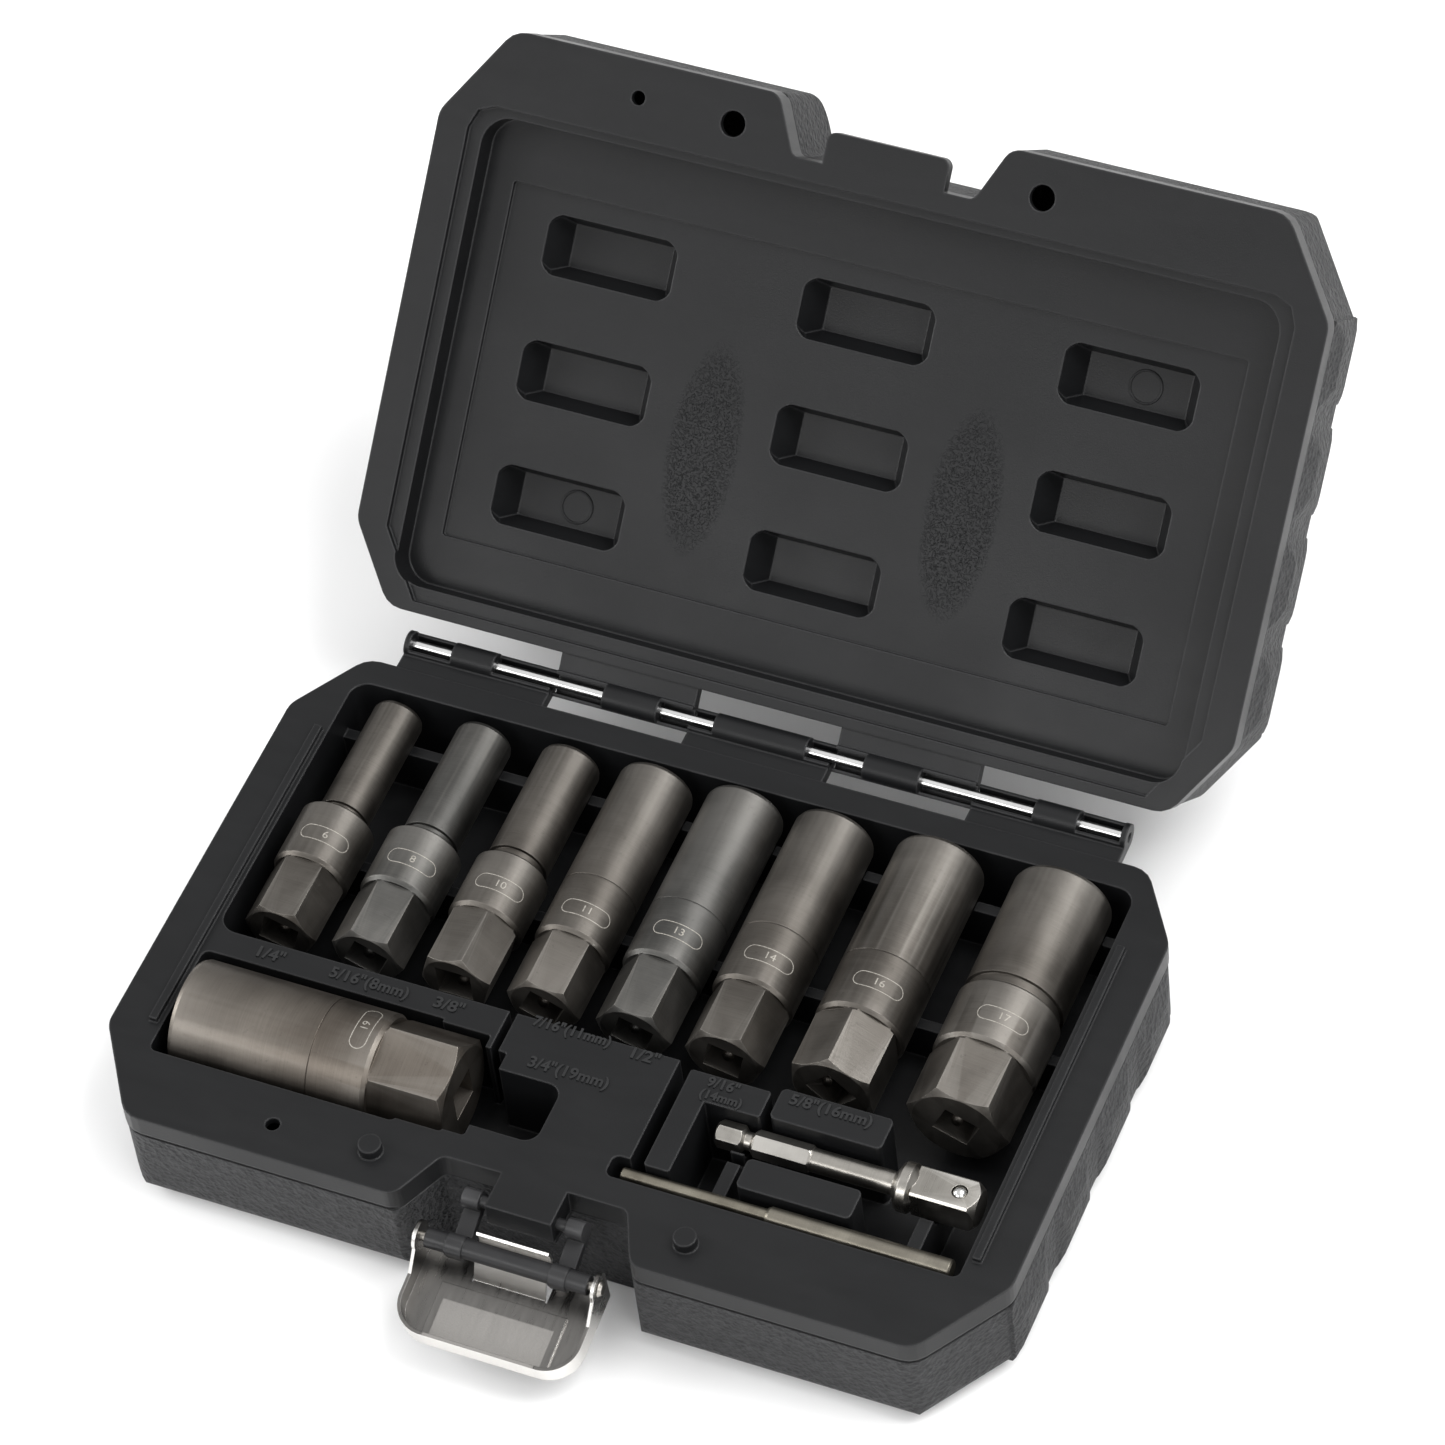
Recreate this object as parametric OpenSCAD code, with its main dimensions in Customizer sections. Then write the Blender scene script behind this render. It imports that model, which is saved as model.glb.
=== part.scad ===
// Bolt extractor socket set in a blow-moulded case with a hinged lid and a draw latch.
// The origin is the centre of the base's underside, +Z is up and +Y points to the hinge.

/* [Case] */
// Width of the case, left to right
case_width = 246; // [244:1:250]
// Depth of the case, front to back
case_depth = 155.7; // [155:0.1:158]
// Height of the base, underside to rim
base_height = 35; // [34:1:38]
// Height of the lid, rim to top
lid_height = 35; // [35:1:38]
// Radius of the lower edge of each shell
edge_radius = 8; // [5:1:10]
// Thickness of the moulded walls
wall = 2; // [1.6:0.2:2.4]
// Depth of the bays in the tray
bay_depth = 24; // [23:1:26]
// How far the grip ribs stand out of the sides
grip_bulge = 1.4; // [1:0.2:2.4]

/* [Hinge] */
// Distance from the back wall to the hinge axis
hinge_offset = 8.3; // [8:0.1:9]
// Radius of the hinge pins
hinge_pin_radius = 1.4; // [1.2:0.05:1.5]
// Outer radius of the hinge barrels
knuckle_radius = 3.6; // [3.4:0.1:3.8]
// Angle that the lid stands open from closed
lid_open_angle = 134; // [120:1:140]

/* [Latch] */
// Distance from the link's pivot to its bar
link_length = 12.5; // [12:0.1:13]
// Angle of the open link below the horizontal
link_rest_angle = 23; // [15:1:30]
// Angle of the open plate below the horizontal
plate_rest_angle = 12; // [5:1:15]
// Width of the latch plate
plate_width = 49.2; // [46:0.2:50]
// Sheet thickness of the latch plate
sheet = 0.9; // [0.8:0.1:1]

/* [Tools] */
// Length of each socket
socket_length = 76; // [70:1:76]
// Height of the socket axes below the rim
axis_drop = 5.5; // [5:0.5:7]
// Across flats of the square drive holes
drive_hole = 9.7; // [9.6:0.05:9.9]
// Across flats of the adaptor's square
drive_square = 9.5; // [9.4:0.05:9.55]
// Across flats of the adaptor's hexagon shank
hex_shank = 6.35; // [6:0.05:6.4]

/* [Hidden] */
$fn = 48;
eps = 0.01;
plastic = [0.16, 0.16, 0.165];
gunmetal = [0.55, 0.53, 0.5];
nickel = [0.78, 0.77, 0.74];

half_w = case_width / 2;
half_d = case_depth / 2;
rim = base_height;
axis_z = rim - axis_drop;
bay_floor = rim - bay_depth;
hinge_y = half_d + hinge_offset;

// Chamfers of the outline, as [along X, along Y]
back_chamfer = [13.3, 20.6];
front_chamfer = [16.4, 24.8];
// Smooth band under the rim, and its undercut above the textured body
band_height = 7.5;
band_undercut = 1.2;
body_inset = 0.3;
// Gap between the two rims of the closed case
rim_gap = 0.04;

// Bay of the long sockets
bay_x = half_w - 13.5;
bay_back = half_d - 7.7;
bay_front = -16.4;
// Bay of the largest socket
big_bay_front = 20.6 - half_d;
big_bay_back = -23.9;

// Notch in the front walls for the latch
notch_back = 15 - half_d;
notch_front_x = 32;
notch_back_x = 25;
boss_x = 9;
boss_front = notch_back - 10.5;
boss_height = 9.5;
catch_x = 16.8;
catch_front = notch_back - 8.5;
catch_height = 3.4;

// Latch pivots
pivot_y = notch_back - 7;
pivot_z = rim - 4;
bar_y = pivot_y - link_length * cos(link_rest_angle);
bar_z = pivot_z - link_length * sin(link_rest_angle);
bar_radius = 2.6;
stub_radius = 1.6;
rivet_radius = 1.25;
arm_x = 14.05;
arm_width = 4.6;

// Long sockets, left to right:
// [x, barrel radius, collar radius, hexagon across flats, bolt size, corner angle, necked]
sockets = [
    [-96, 6.9, 10.3, 17.5, 6.4, 32, true],
    [-71.2, 7.75, 10.4, 17.5, 8, 40, true],
    [-46.4, 8.3, 10.2, 17.5, 9.5, 16, true],
    [-22, 10.3, 10.3, 17.5, 11, 40, false],
    [3, 10.8, 10.8, 18, 12.7, 35, false],
    [28, 11, 11, 19, 14.3, 28, false],
    [57.3, 12.2, 12.2, 21, 15.9, 59, false],
    [90.9, 13.4, 13.9, 24, 17.5, 39, true]];
socket_back = bay_back - 3.6;
big_socket = [-106, 15.1, 15.1, 26, 19, 165, false];
big_socket_y = -40.55;
hex_length = 18;
neck_start = 36;
neck_length = 3;

adaptor_y = -30;
adaptor_start = 35.2;
adaptor_length = 70.3;
adaptor_z = rim - 6;
ball_radius = 2;
ball_x = adaptor_start + adaptor_length - 5.3;
ball_z = adaptor_z + drive_square / 2 - 1.3;
spring_bottom = adaptor_z - 1.6;
spring_top = ball_z - ball_radius;
spring_wire = 0.22;

knockout_y = -51.5;
knockout_start = 18.5;
knockout_z = rim - 3;
thin_length = 39;
thick_length = 49;
thin_radius = 1.9;
thick_radius = 2.8;
through_radius = thin_radius + 0.07;

function unit(v) = v / norm(v);

// Points of a fillet of radius r at corner b between a and c
function corner_arc(a, b, c, r, steps) =
    let (u = unit(a - b), v = unit(c - b), turn = 180 - acos(u * v))
    let (o = b + unit(u + v) * r / cos(turn / 2), p = b + u * r * tan(turn / 2) - o)
    let (start = atan2(p[1], p[0]))
    [for (k = [0:steps]) o + r * [cos(start + turn * k / steps), sin(start + turn * k / steps)]];

// Case outline, drawn in by an inset, anticlockwise from the back right
function outline_corners(inset) =
    let (x = half_w - inset, y = half_d - inset)
    let (b = back_chamfer - [0.6, 0.6] * inset, f = front_chamfer - [0.6, 0.6] * inset)
    [[x - b[0], y], [b[0] - x, y], [-x, y - b[1]], [-x, f[1] - y],
     [f[0] - x, -y], [x - f[0], -y], [x, f[1] - y], [x, y - b[1]]];

function outline(inset, radius = 7) =
    let (c = outline_corners(inset), n = len(c))
    [for (i = [0:n - 1]) each corner_arc(c[(i + n - 1) % n], c[i], c[(i + 1) % n], radius, 3)];

module slab(inset, z0, z1) {
    translate([0, 0, z0]) linear_extrude(z1 - z0) polygon(outline(inset));
}

// Everything within a distance of the middle in one direction, its lower edge rounded
module rounded_side(angle, distance, h) {
    r = edge_radius;
    rotate([0, 0, angle]) translate([0, 200, 0]) rotate([90, 0, 0]) linear_extrude(400) {
        translate([-200, 0]) square([200 + distance - r, h]);
        translate([-200, r]) square([200 + distance, h - r]);
        translate([distance - r, r]) circle(r = r);
    }
}

// Direction and distance of the outline's side from corner i to the next
function side_angle(c, i) = let (d = c[(i + 1) % 8] - c[i]) atan2(-d[0], d[1]);
function side_distance(c, i) = c[i] * [cos(side_angle(c, i)), sin(side_angle(c, i))];

// Outside of a shell that stands on its closed face, height h to its rim
module outer_shell(h) {
    body_top = h - band_height;
    corners = outline_corners(body_inset);
    intersection() {
        slab(body_inset, 0, body_top);
        intersection_for(i = [0:7]) rounded_side(side_angle(corners, i), side_distance(corners, i), h);
    }
    slab(band_undercut, body_top - 0.5, body_top + 1.5);
    slab(0, body_top + 1, h);
    for (side = [0, 1], k = [0:3]) mirror([side, 0, 0]) grip_rib(44.5 - 29 * k, body_top);
}

// Pad on the right wall, sloped on all four sides
module grip_rib(y, top) {
    root = half_w - 6;
    wall_x = half_w - body_inset;
    crown = half_w + grip_bulge;
    intersection() {
        translate([0, y, 3]) linear_extrude(top - 3) polygon([[root, -11.5], [wall_x, -11.3],
            [crown - 0.7, -8.6], [crown, -6], [crown, 6], [crown - 0.7, 8.6], [wall_x, 11.3], [root, 11.5]]);
        translate([0, y + 14, 0]) rotate([90, 0, 0]) linear_extrude(28) polygon([[root, 3.5],
            [wall_x - 1, 3.5], [crown - 0.7, 7.5], [crown, 10], [crown, top - 8], [crown - 0.8, top - 5],
            [wall_x, top - 0.5], [root, top - 0.5]]);
    }
}

// Space inside the walls before the bays are taken out of it
module wall_space(h) {
    low_inset = 5.5;
    low_top = 5;
    slab(low_inset, wall, low_top + 1);
    slab(body_inset + wall + 0.6, low_top, h - band_height - 1);
    slab(band_undercut + wall, h - band_height - 2, h - wall - 0.2);
}

module rounded_rect(x0, x1, y0, y1, r) {
    translate([x0 + r, y0]) square([x1 - x0 - 2 * r, y1 - y0]);
    translate([x0, y0 + r]) square([x1 - x0, y1 - y0 - 2 * r]);
    for (x = [x0 + r, x1 - r], y = [y0 + r, y1 - r]) translate([x, y]) circle(r = r);
}

// Notch in the front wall, full height, grown by g, with rounded corners
module latch_notch(h, g = 0) {
    face = -half_d - 0.05;
    mouth = [notch_front_x + g, face];
    inner = [notch_back_x + g, notch_back + g];
    lip = corner_arc(inner, mouth, [50, face], 4.5, 4);
    half = concat([[50, -half_d - 5], [50, face]], [for (k = [4:-1:0]) lip[k]],
        corner_arc(mouth, inner, [0, notch_back + g], 2.5, 3));
    last = len(half) - 1;
    translate([0, 0, -1]) linear_extrude(h + 2)
        polygon(concat(half, [for (i = [last:-1:0]) [-half[i][0], half[i][1]]]));
}

// Plan of the bays, grown by g
module bay_plan(g) {
    difference() {
        union() {
            rounded_rect(-bay_x - g, bay_x + g, bay_front - g, bay_back + g, 5 + g);
            rounded_rect(-bay_x - g, -40.8 + g, big_bay_front - g, big_bay_back + g, 2 + g);
            rounded_rect(-60 - g, -28.5 + g, big_bay_front + 1 - g, -24.9 + g, 1 + g);
            rounded_rect(-60 - g, -22.5 + g, big_bay_front + 1.8 - g, -28.6 + g, 1 + g);
            rounded_rect(-40 - g, -4.8 + g, -52 - g, -33.8 + g, 4 + g);
            rounded_rect(15.5 - g, bay_x + g, -54.9 - g, -48.4 + g, 2 + g);
            rounded_rect(19.8 - g, bay_x + g, -53 - g, 0, 1 + g);
            translate([-27.1 - g, -30]) square([2.2 + 2 * g, 15]);
        }
        translate([-bay_x - 1, big_bay_back + g]) square([bay_x - 26.1 - g, bay_front - big_bay_back - 2 * g]);
        translate([-42 + g, -24.9 + g]) square([14.9 - 2 * g, 8.3]);
        rounded_rect(23.5 + g, 30.4 - g, -48.9 + g, -18 - g, 0.8);
        rounded_rect(23.5 + g, 45.3 - g, -26.2 + g, -18 - g, 0.8);
        rounded_rect(47.5 + g, 77.5 - g, -25.4 + g, -15.9 - g, 1.5);
        rounded_rect(47.5 + g, 78 - g, -47.4 + g, -38.5 - g, 1.5);
    }
}

// Cross rib that carries the long sockets, with a seat for each
module socket_saddle(y, top) {
    difference() {
        translate([-bay_x - 1, y - 1.5, bay_floor - 1]) cube([2 * bay_x + 2, 3, top - bay_floor + 1]);
        for (s = sockets) {
            seat = socket_back - y > neck_start ? s[2] : s[1];
            translate([s[0], y - 2, axis_z]) rotate([-90, 0, 0]) cylinder(r = seat + 0.35, h = 4);
        }
    }
}

// Supports under the largest socket, the adaptor and the knock-out pin
module front_saddles() {
    difference() {
        for (x = [-92, -62]) translate([x, big_bay_front - 1, bay_floor - 1])
            cube([3, big_bay_back - big_bay_front + 2, axis_z - bay_floor - 2]);
        translate([-110, big_socket_y, axis_z]) rotate([0, 90, 0]) cylinder(r = big_socket[1] + 0.35, h = 60);
    }
    difference() {
        for (x = [40.4, 92]) translate([x, -55.5, bay_floor - 1]) cube([3.6, 30, rim - 7 - bay_floor + 1]);
        translate([30, adaptor_y, adaptor_z]) rotate([0, 90, 0]) cylinder(r = 6.9, h = 80);
        translate([15, knockout_y, knockout_z]) rotate([0, 90, 0]) cylinder(r = thick_radius + 0.35, h = 95);
        translate([30, knockout_y - 5, knockout_z]) cube([80, 10, 10]);
    }
    difference() {
        translate([40.4, -34.5, bay_floor - 1]) cube([3.6, 8, adaptor_z - bay_floor + 1]);
        translate([30, adaptor_y, adaptor_z]) rotate([0, 90, 0]) cylinder(r = 4, h = 30);
    }
}

// One half of the hinge, rim side up: barrels on a flange, with windows that show the pin
module hinge_half(groups, windows, bore) {
    window_y = 2.65;
    difference() {
        for (k = groups) {
            translate([k[0], hinge_y, rim]) rotate([0, 90, 0]) cylinder(r = knuckle_radius, h = k[1] - k[0]);
            translate([k[0], half_d - 1.5, rim - knuckle_radius])
                cube([k[1] - k[0], hinge_offset + 1.5, knuckle_radius - 0.3]);
        }
        for (w = windows) {
            translate([w[0], hinge_y - window_y, rim - 1.9]) cube([w[1] - w[0], 2 * window_y, 10]);
            translate([w[0], half_d + 1, rim + 0.9]) cube([w[1] - w[0], 20, 10]);
        }
        translate([-half_w, hinge_y, rim]) rotate([0, 90, 0]) cylinder(r = bore, h = case_width);
    }
}

module base_shell() {
    color(plastic) difference() {
        union() {
            difference() {
                outer_shell(rim);
                translate([0, 0, bay_floor]) linear_extrude(bay_depth + 1) bay_plan(0);
                latch_notch(rim);
                difference() {
                    wall_space(rim);
                    translate([0, 0, bay_floor - wall]) linear_extrude(bay_depth + wall + 1) bay_plan(wall);
                    latch_notch(rim, wall);
                }
            }
            intersection() {
                union() {
                    socket_saddle(60, rim - 10);
                    socket_saddle(22, rim - 12);
                    front_saddles();
                }
                translate([0, 0, bay_floor - 1]) linear_extrude(bay_depth) bay_plan(0.5);
            }
            for (x = [-42.7, 42.7]) translate([x, -67.35, rim - 1]) cylinder(r = 3, h = 4);
            for (side = [-1, 1]) translate([side * (half_w - 10.9) - 1.1, -49, rim - 1]) cube([2.2, 101, 2.5]);
            latch_boss();
            hinge_half([[-101.5, -59.4], [-19.8, 19.8], [59.4, 101.5]],
                [[-100, -88], [-76, -59], [-20, -13], [13, 20], [59, 76], [88, 100]], hinge_pin_radius);
        }
        translate([-69.5, -68.15, rim - wall - 1]) cylinder(r = 1.9, h = wall + 2);
        for (side = [-1, 1]) translate([side * (boss_x - 2.5), pivot_y, pivot_z]) rotate([0, 90, 0])
            cylinder(r = stub_radius + 0.06, h = 8, center = true);
    }
}

// Boss between the two pockets of the notch, where the link pivots
module latch_boss() {
    nose = 2.5;
    translate([-boss_x, boss_front, rim - boss_height + nose]) cube([2 * boss_x, notch_back + 1 - boss_front, boss_height - nose]);
    translate([-boss_x, boss_front + nose, rim - boss_height]) cube([2 * boss_x, notch_back + 1 - boss_front - nose, boss_height]);
    translate([-boss_x, boss_front + nose, rim - boss_height + nose]) rotate([0, 90, 0]) cylinder(r = nose, h = 2 * boss_x);
}

// The lid stands on its top face here, and lid_shell turns it over and opens it
module lid_body() {
    panel = lid_height - 11.4;
    step = lid_height - 10;
    difference() {
        union() {
            difference() {
                outer_shell(lid_height);
                lid_recess(step, panel, 0);
                latch_notch(lid_height);
                difference() {
                    wall_space(lid_height);
                    lid_recess(step, panel, wall);
                    latch_notch(lid_height, wall);
                }
            }
            translate([0, 0, lid_height - catch_height]) linear_extrude(catch_height)
                rounded_rect(-catch_x, catch_x, catch_front, notch_back + 3, 2.4);
            translate([0, 0, lid_height - rim])
                hinge_half([[-59, -20.2], [20.2, 59]],
                    [[-60, -44.5], [-29, -20], [20, 29], [44.5, 60]], hinge_pin_radius + 0.05);
        }
        for (x = [-42.7, 42.7]) translate([x, -67.35, lid_height - 3.8]) cylinder(r = 3.4, h = 5);
        translate([-69.5, -68.15, lid_height - wall - 1]) cylinder(r = 1.9, h = wall + 2);
        translate([-half_w - 5, -half_d - 5, lid_height - rim_gap]) cube([case_width + 10, case_depth + 5.2, 1]);
    }
}

// Ledge round the lid's recess, which takes the base's side beads
module lid_ledge(g) {
    x = 114.4 + g;
    y0 = -57.4 - g;
    y1 = 75 + g;
    translate([0, 0, lid_height - 1.9 - g]) linear_extrude(40) polygon([
        [-103 - 0.6 * g, y1], [-x, 57.3 + 0.6 * g], [-x, y0 + 7], [-x + 2, y0 + 2], [-x + 7, y0],
        [x - 7, y0], [x - 2, y0 + 2], [x, y0 + 7], [x, 57.3 + 0.6 * g], [103 + 0.6 * g, y1]]);
}

// Recess in the lid: a ledge, the flat surround, the panel and its nine pockets
module lid_recess(step, panel, g) {
    lid_ledge(g);
    translate([0, 0, step - g]) linear_extrude(40) rounded_rect(-110.5 - g, 110.5 + g, -55 - g, bay_back + 1 + g, 8 + g);
    translate([0, 0, panel - g]) linear_extrude(40) rounded_rect(-102.3 - g, 102.3 + g, -38.6 - g, 57.4 + g, 0.8 + g);
    for (x = [-72.5, 0, 72.5], y = [-24.65, 9.05, 42.75]) translate([x, y, panel + 1])
        mirror([0, 0, 1]) lid_pocket(g);
}

// Pocket along +Z, rounded at its mouth, with sides that slope in to its floor
module lid_pocket(g) {
    depth = 10.5 + g;
    intersection() {
        translate([0, 0, -1]) linear_extrude(depth + 1) rounded_rect(-18.6 - g, 18.6 + g, -8.2 - g, 8.2 + g, 5 + g);
        rotate([90, 0, 0]) linear_extrude(30, center = true) pocket_side(18.6 + g, 14 + g, depth);
        rotate([90, 0, 90]) linear_extrude(60, center = true) pocket_side(8.2 + g, 5.8 + g, depth);
    }
}

module pocket_side(mouth, floor_half, depth) {
    polygon([[-mouth, -1], [mouth, -1], [mouth, 0.6], [floor_half, depth], [-floor_half, depth], [-mouth, 0.6]]);
}

module lid_shell() {
    color(plastic) translate([0, hinge_y, rim]) rotate([-lid_open_angle, 0, 0])
        translate([0, -hinge_y, lid_height]) mirror([0, 0, 1]) lid_body();
}

module hinge_pin(side) {
    color(nickel) translate([side * 52, hinge_y, rim]) rotate([0, 90, 0])
        cylinder(r = hinge_pin_radius, h = 98, center = true);
}

module hinge_pin_left() { hinge_pin(-1); }
module hinge_pin_right() { hinge_pin(1); }

// Side view of one arm of the link: along X from the pivot to the bar, bowed towards +Y
module arm_profile() {
    bow = 4.7;
    strap = 2.4;
    pivot_r = 2.5;
    bar_r = 3;
    circle(r = pivot_r);
    translate([link_length, 0]) circle(r = bar_r);
    polygon([[-pivot_r, 0], [-pivot_r, bow - 1.6], [-0.9, bow], [link_length + 1.2, bow],
        [link_length + bar_r, bow - 1.8], [link_length + bar_r, 0], [link_length - bar_r, 0],
        [link_length - bar_r, bow - strap], [pivot_r, bow - strap], [pivot_r, 0]]);
}

// Turns a side view drawn as (along, outward) into place at a pivot and angle
module in_side_view(y, z, angle, x0, width) {
    translate([x0, y, z]) rotate([180 + angle, 0, 0]) rotate([90, 0, 90])
        linear_extrude(width) children();
}

module latch_link() {
    color(plastic) difference() {
        union() {
            for (side = [-1, 1]) {
                in_side_view(pivot_y, pivot_z, link_rest_angle, side * arm_x - arm_width / 2, arm_width) arm_profile();
                translate([side * (boss_x - 3.5), pivot_y, pivot_z]) rotate([0, side * 90, 0])
                    cylinder(r = stub_radius, h = arm_x - boss_x + 3.5);
            }
            translate([0, bar_y, bar_z]) rotate([0, 90, 0]) cylinder(r = bar_radius, h = 44, center = true);
        }
        for (side = [-1, 1]) translate([side * 19, bar_y, bar_z]) rotate([0, side * 90, 0])
            cylinder(r = rivet_radius, h = 10);
    }
}

module latch_rivets() {
    head = 0.9;
    color(nickel) for (side = [-1, 1]) {
        translate([side * 19, bar_y, bar_z]) rotate([0, side * 90, 0])
            cylinder(r = rivet_radius, h = plate_width / 2 - 19 + 0.3);
        translate([side * (plate_width / 2 + 0.15), bar_y, bar_z]) rotate([0, side * 90, 0])
            cylinder(r1 = 2.2, r2 = 1.5, h = head);
    }
}

// The plate lies with its finger end along -Y and its floor towards -Z, about the bar
module latch_plate() {
    reach = 23.4;
    heel = 2.5;
    outer = 10.3;
    side_top = 4.2;
    tongue_x = 9.8;
    half = plate_width / 2;
    color(nickel) translate([0, bar_y, bar_z]) rotate([plate_rest_angle, 0, 0]) difference() {
        union() {
            translate([0, 0, -outer]) difference() {
                linear_extrude(outer - side_top) tray_plan(half, heel, reach, 9);
                translate([0, 0, sheet]) linear_extrude(outer)
                    tray_plan(half - sheet, heel + 1, reach - sheet, 9 - sheet);
                translate([-tongue_x - 0.5, -4.5, -1]) cube([2 * tongue_x + 1, 10, 3]);
            }
            for (x = [-half, half - sheet]) translate([x, 0, 0]) rotate([90, 0, 90]) linear_extrude(sheet) ear_profile(outer);
            translate([-tongue_x, 0, 0]) rotate([90, 0, 90]) linear_extrude(2 * tongue_x) tongue_profile(outer);
            translate([-17, 0.5 - reach, sheet - outer - eps]) raised_panel(34, 15.5, 0.7);
        }
        rotate([0, 90, 0]) cylinder(r = rivet_radius + 0.05, h = plate_width + 2, center = true);
    }
}

module tray_plan(half, heel, reach, r) {
    translate([-half, r - reach]) square([2 * half, reach + heel - r]);
    translate([r - half, -reach]) square([2 * (half - r), reach]);
    for (x = [r - half, half - r]) translate([x, r - reach]) circle(r = r);
}

module raised_panel(w, d, h) {
    translate([0, 0.5, 0]) cube([w, d, h]);
}

// Ear in the (Y, Z) plane: a round lobe at the bar that runs down into the tray's side
module ear_profile(outer) {
    lobe = 4;
    circle(r = lobe);
    polygon([[lobe, 0], [2.5, -outer], [-9, -outer], [-9, -4.2], [-lobe, 0]]);
}

// Tongue in the (Y, Z) plane: up from the floor, then curled round the bar as the hook
module tongue_profile(outer) {
    inner_r = 4;
    outer_r = inner_r + 0.8;
    from = -100;
    to = 30;
    step = 10;
    arc_out = [for (a = [from:step:to]) outer_r * [cos(a), sin(a)]];
    arc_in = [for (a = [to:-step:from]) inner_r * [cos(a), sin(a)]];
    polygon(concat(arc_out, arc_in));
    polygon([[-4, -outer], [-5.2, -outer], [-5.2, sheet - outer], [-4, sheet - outer],
             inner_r * [cos(from), sin(from)], outer_r * [cos(from), sin(from)]]);
}

// Outside of a socket along +Z: barrel, neck, collar and hexagon with a chamfered end
module socket_outside(s, length, hex) {
    r = s[1];
    c = s[2];
    hex_start = length - hex;
    neck = s[6] ? r - 0.8 : r;
    collar_start = neck_start + neck_length;
    ring = s[6] ? 0.6 : 0.25;
    tip = s[3] / 2;
    rotate_extrude($fn = 72) polygon([[0, 0], [r - 1.4, 0], [r - 0.4, 0.4], [r, 1.4], [r, neck_start],
        [neck, neck_start + 0.2], [neck, collar_start], [c - ring, collar_start], [c, collar_start + ring],
        [c, hex_start - 1.4], [c - 0.8, hex_start - 0.3], [0, hex_start - 0.3]]);
    intersection() {
        rotate([0, 0, s[5]]) translate([0, 0, hex_start - 2]) cylinder(r = s[3] / sqrt(3), h = hex + 2, $fn = 6);
        rotate_extrude($fn = 72) polygon([[0, hex_start - 2], [c - 0.9, hex_start - 2], [c - 0.6, hex_start],
            [c + 2, hex_start + 2.4], [c + 2, length - 2.6],
            [tip - 0.3, length], [0, length]]);
    }
}

// Extractor bore with its flutes, the through hole and the square drive hole
module socket_inside(s, length) {
    bolt = s[4] / 2;
    mouth_depth = 24;
    drive_depth = 13;
    translate([0, 0, -1]) cylinder(r = bolt * 0.94, h = mouth_depth + 1);
    translate([0, 0, -1]) linear_extrude(mouth_depth) flute_star(bolt * 0.9, bolt * 1.14);
    translate([0, 0, -eps]) cylinder(r1 = bolt * 1.14 + 0.5, r2 = bolt * 0.94, h = 1.6);
    translate([0, 0, mouth_depth - 1]) cylinder(r = through_radius, h = length);
    translate([0, 0, length - drive_depth / 2 + 0.5]) rotate([0, 0, s[5] + 15])
        cube([drive_hole, drive_hole, drive_depth + 1], center = true);
    translate([0, 0, length]) rotate([0, 0, s[5] + 15]) for (a = [0:90:270]) rotate([0, 0, a])
        translate([drive_hole / 2 - 0.6, 0, -5]) sphere(r = 1.7, $fn = 24);
}

module flute_star(inner, outer) {
    polygon([for (k = [0:11]) (k % 2 == 0 ? outer : inner) * [cos(30 * k), sin(30 * k)]]);
}

module long_socket(s) {
    turned = [s[0], s[1], s[2], s[3], s[4], 90 - s[5], s[6]];
    color(gunmetal) translate([s[0], socket_back, axis_z]) rotate([90, 0, 0]) difference() {
        socket_outside(turned, socket_length, hex_length);
        socket_inside(turned, socket_length);
    }
}

module socket_6mm() { long_socket(sockets[0]); }
module socket_8mm() { long_socket(sockets[1]); }
module socket_10mm() { long_socket(sockets[2]); }
module socket_11mm() { long_socket(sockets[3]); }
module socket_13mm() { long_socket(sockets[4]); }
module socket_14mm() { long_socket(sockets[5]); }
module socket_16mm() { long_socket(sockets[6]); }
module socket_17mm() { long_socket(sockets[7]); }

module socket_19mm() {
    color(gunmetal) translate([big_socket[0], big_socket_y, axis_z]) rotate([0, 90, 0]) difference() {
        socket_outside(big_socket, socket_length, hex_length + 2.5);
        socket_inside(big_socket, socket_length);
    }
}

// Adaptor along +X: grooved hexagon shank, round shank, flange and sprung square
module adaptor() {
    shank = 49.1;
    flange = shank + 4.7;
    groove = 8.6;
    color(nickel) translate([adaptor_start, adaptor_y, adaptor_z]) rotate([0, 90, 0]) difference() {
        union() {
            intersection() {
                cylinder(r = hex_shank / sqrt(3), h = 25.6, $fn = 6);
                rotate_extrude() polygon([[0, 0], [2.8, 0], [3.7, 0.9], [3.7, groove - 2], [2.4, groove - 0.8],
                    [2.4, groove + 0.8], [3.7, groove + 2], [3.7, 24.8], [3.2, 25.6], [0, 25.6]]);
            }
            translate([0, 0, 25.2]) cylinder(r = 3.1, h = shank - 25.2);
            rotate_extrude() polygon([[0, shank - 1.5], [3.1, shank - 1.5], [5.9, shank], [6.5, shank + 0.8],
                [6.5, flange - 1.6], [4.9, flange], [0, flange]]);
            intersection() {
                translate([-drive_square / 2, -drive_square / 2, flange - 0.5])
                    cube([drive_square, drive_square, adaptor_length - flange + 0.5]);
                rotate_extrude() polygon([[0, flange - 1], [6.3, flange - 1], [6.3, adaptor_length - 1.8],
                    [4.6, adaptor_length], [0, adaptor_length]]);
            }
        }
        translate([0, 0, ball_x - adaptor_start]) rotate([0, -90, 0]) translate([0, 0, spring_bottom - adaptor_z])
            cylinder(r = ball_radius + 0.05, h = 10);
    }
}

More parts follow.
